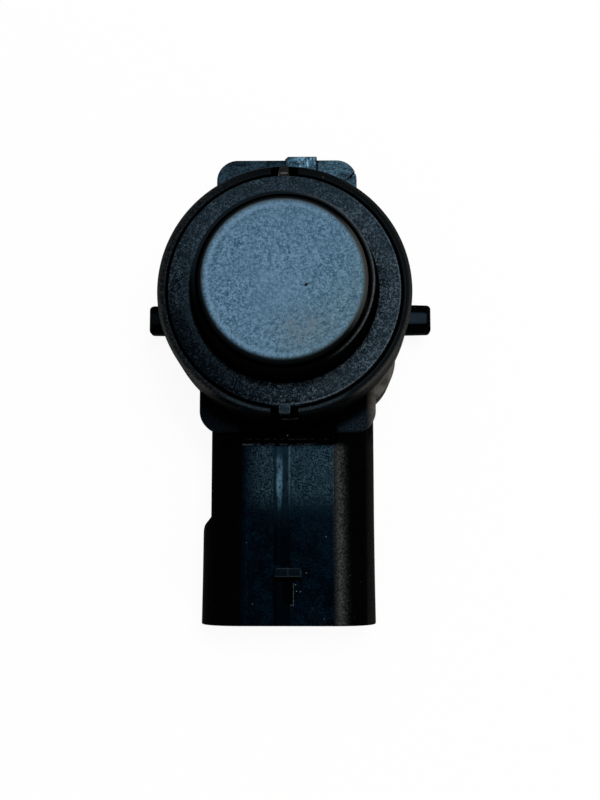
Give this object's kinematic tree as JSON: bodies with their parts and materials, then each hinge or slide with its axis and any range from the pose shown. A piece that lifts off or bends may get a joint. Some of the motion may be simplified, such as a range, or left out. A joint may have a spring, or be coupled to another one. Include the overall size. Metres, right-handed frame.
{
  "type": "parking sensor",
  "caption": "Ultrasonic parking sensor with a painted round membrane in a soft sleeve, a keyed cover ring, a round barrel with side lugs and a shrouded plug socket.",
  "frame": {"origin": "on the transducer's axis, in the plane of the rear face", "axes": "+Z along the transducer's axis, the way the membrane faces; the plug socket opens towards -Y; +X completes the right-handed frame, to the right when the membrane is seen with the socket down"},
  "size_m": [0.0308, 0.0491, 0.0228],
  "materials": {
    "moulded_black_plastic": "satin black moulded, fine grain",
    "textured_black_plastic": "black with a coarse eroded grain",
    "black_silicone": "deep black, matt",
    "blue_grey_paint": "mottled blue-grey paint, satin",
    "piezo_ceramic": "bare ceramic, matt",
    "grey_felt": "pressed felt",
    "silicone_foam": "fine closed foam, matt",
    "carrier_plastic": "moulded dark grey",
    "tinned_brass": "tinned, bright",
    "copper_wire": "enamelled copper",
    "green_laminate": "solder-masked glass laminate",
    "ferrite": "sintered, matt",
    "aluminium_can": "bright drawn can",
    "black_epoxy": "moulded epoxy",
    "tan_ceramic": "fired tan ceramic",
    "resistor_glaze": "glazed black",
    "potting_compound": "self-levelled compound, satin"
  },
  "bodies": {
    "root": {"housing": "moulded_black_plastic", "cover_ring": "textured_black_plastic", "decoupling_sleeve": "black_silicone", "membrane_cup": "blue_grey_paint", "piezo_disc": "piezo_ceramic", "damping_felt": "grey_felt", "cup_filling": "silicone_foam", "contact_carrier": "carrier_plastic", "contact_pin_left": "tinned_brass", "contact_pin_right": "tinned_brass", "signal_wire": "copper_wire", "ground_wire": "copper_wire", "circuit_board": "green_laminate", "terminal_blade_1": "tinned_brass", "terminal_blade_2": "tinned_brass", "terminal_blade_3": "tinned_brass", "transformer_core": "ferrite", "transformer_winding": "copper_wire", "storage_capacitor": "aluminium_can", "controller_chip": "black_epoxy", "line_resistor": "resistor_glaze", "tuning_capacitor": "tan_ceramic", "damping_resistor": "resistor_glaze", "supply_capacitor": "tan_ceramic", "protection_diode": "black_epoxy", "line_transistor": "black_epoxy", "rear_potting": "potting_compound"}
  },
  "joints": []
}
